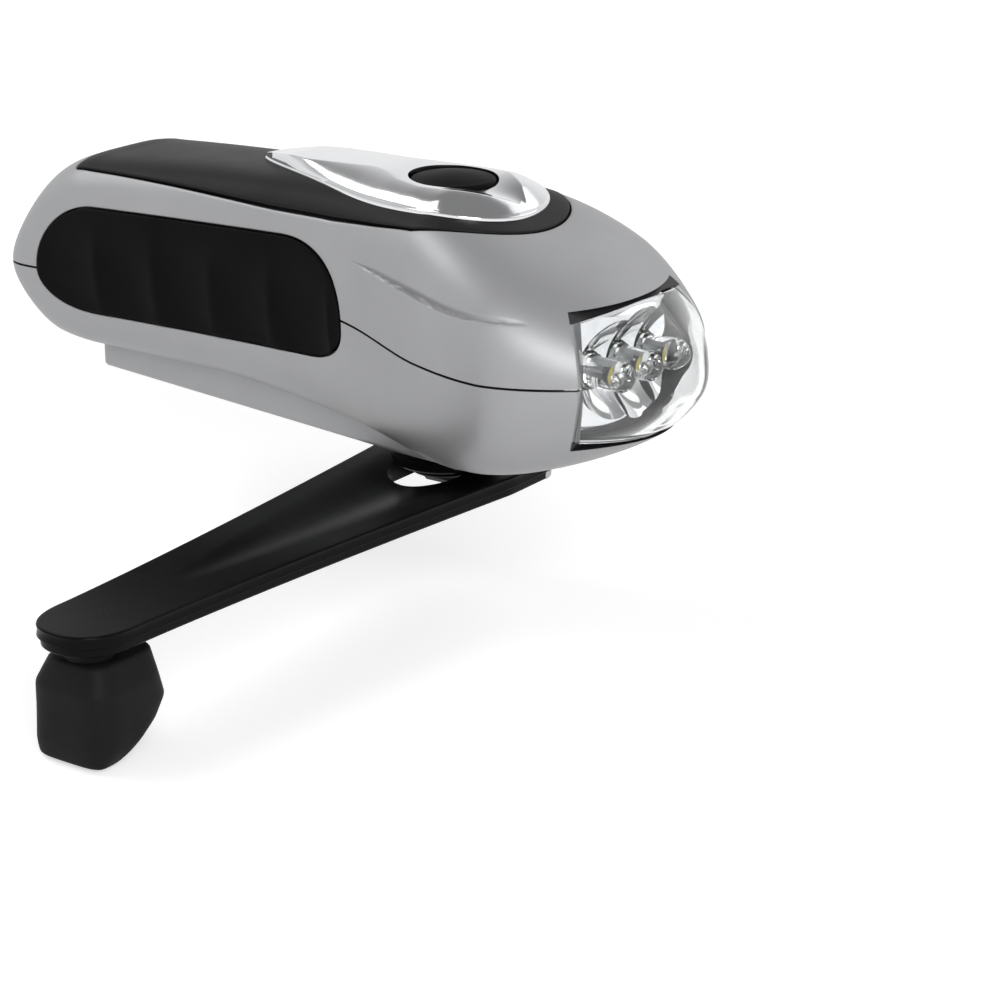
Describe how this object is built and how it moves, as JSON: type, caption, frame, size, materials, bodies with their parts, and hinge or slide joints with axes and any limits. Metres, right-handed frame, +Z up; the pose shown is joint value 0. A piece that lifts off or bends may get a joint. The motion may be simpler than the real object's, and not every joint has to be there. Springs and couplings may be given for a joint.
{
  "type": "hand crank flashlight",
  "caption": "Hand crank flashlight with a silver two-part housing, rubber side grips, a chrome-ringed button, a clear nose and a folding crank that drives a small generator.",
  "frame": {"origin": "middle of the foot of the bounding box, with the crank unfolded and standing out to one side", "axes": "+X out of the lens, +Y to the left of someone who holds it with the lens ahead, +Z up through the button"},
  "size_m": [0.1408, 0.1228, 0.0726],
  "materials": {
    "silver_plastic": "satin, metallic silver",
    "soft_black": "matte soft-touch",
    "grip_rubber": "matte",
    "crank_plastic": "satin gloss",
    "knob_rubber": "matte",
    "chrome": "mirror",
    "clear_plastic": "clear",
    "lamp_clear": "clear with a yellow phosphor",
    "steel": "plain",
    "brass": "turned",
    "acetal": "natural white",
    "board": "green laminate",
    "dark_plastic": "matte",
    "copper": "enamelled copper winding",
    "ferrite": "dull dark grey"
  },
  "bodies": {
    "housing": {"upper_shell": "silver_plastic", "lower_shell": "silver_plastic", "top_panel": "soft_black", "button_bezel": "chrome", "left_grip": "grip_rubber", "right_grip": "grip_rubber", "lens_cover": "clear_plastic", "reflector": "chrome", "lamp_1": "lamp_clear", "lamp_2": "lamp_clear", "lamp_3": "lamp_clear", "lamp_board": "board", "circuit_board": "board", "switch_body": "dark_plastic", "board_screw_1": "steel", "board_screw_2": "steel", "battery_cell_1": "steel", "battery_cell_2": "steel", "battery_cell_3": "steel", "charging_socket": "dark_plastic", "gearbox_cover": "acetal", "idler_axle_1": "steel", "idler_axle_2": "steel", "generator_can": "steel", "generator_coil": "copper", "shaft_bush": "brass", "shell_screw_1": "steel", "shell_screw_2": "steel", "shell_screw_3": "steel", "cover_screw_1": "steel", "cover_screw_2": "steel", "cover_screw_3": "steel"},
    "crank": {"crank_hub": "crank_plastic", "crank_shaft": "steel", "drive_gear": "acetal", "shaft_clip": "steel"},
    "idler_1": {"idler_gear_1": "acetal"},
    "idler_2": {"idler_gear_2": "acetal"},
    "rotor": {"rotor_pinion": "brass", "rotor_magnet": "ferrite"},
    "arm": {"crank_arm": "crank_plastic", "hinge_pin": "steel", "knob_spindle": "steel"},
    "knob": {"crank_knob": "knob_rubber"},
    "button": {"power_button": "soft_black", "switch_plunger": "dark_plastic"}
  },
  "joints": [
    {"name": "crank_spin", "type": "hinge", "parent": "housing", "child": "crank", "pos_m": [0.01845, 0.03604, 0.0243], "axis": [0, 0, 1], "continuous": true},
    {"name": "arm_fold", "type": "hinge", "parent": "crank", "child": "arm", "pos_m": [0.01795, 0.04703, 0.0191], "axis": [0.999, 0.0454, 0], "range_deg": [0, 180]},
    {"name": "knob_spin", "type": "hinge", "parent": "arm", "child": "knob", "pos_m": [0.02251, -0.05337, 0.0123], "axis": [0, 0, 1], "continuous": true},
    {"name": "idler_1_spin", "type": "hinge", "parent": "housing", "child": "idler_1", "pos_m": [0.00234, 0.03604, 0.03785], "axis": [0, 0, 1], "continuous": true},
    {"name": "idler_2_spin", "type": "hinge", "parent": "housing", "child": "idler_2", "pos_m": [-0.01098, 0.03604, 0.03915], "axis": [0, 0, 1], "continuous": true},
    {"name": "rotor_spin", "type": "hinge", "parent": "housing", "child": "rotor", "pos_m": [-0.0216, 0.03604, 0.0479], "axis": [0, 0, 1], "continuous": true},
    {"name": "button_press", "type": "slide", "parent": "housing", "child": "button", "axis": [0, 0, -1], "range_m": [0, 0.0012], "stiffness_N_per_m": 900}
  ],
  "couplings": [
    {"joint": "idler_1_spin", "follows": "crank_spin", "ratio": -3.3333},
    {"joint": "idler_2_spin", "follows": "crank_spin", "ratio": 8.8889},
    {"joint": "rotor_spin", "follows": "crank_spin", "ratio": -20.741}
  ]
}
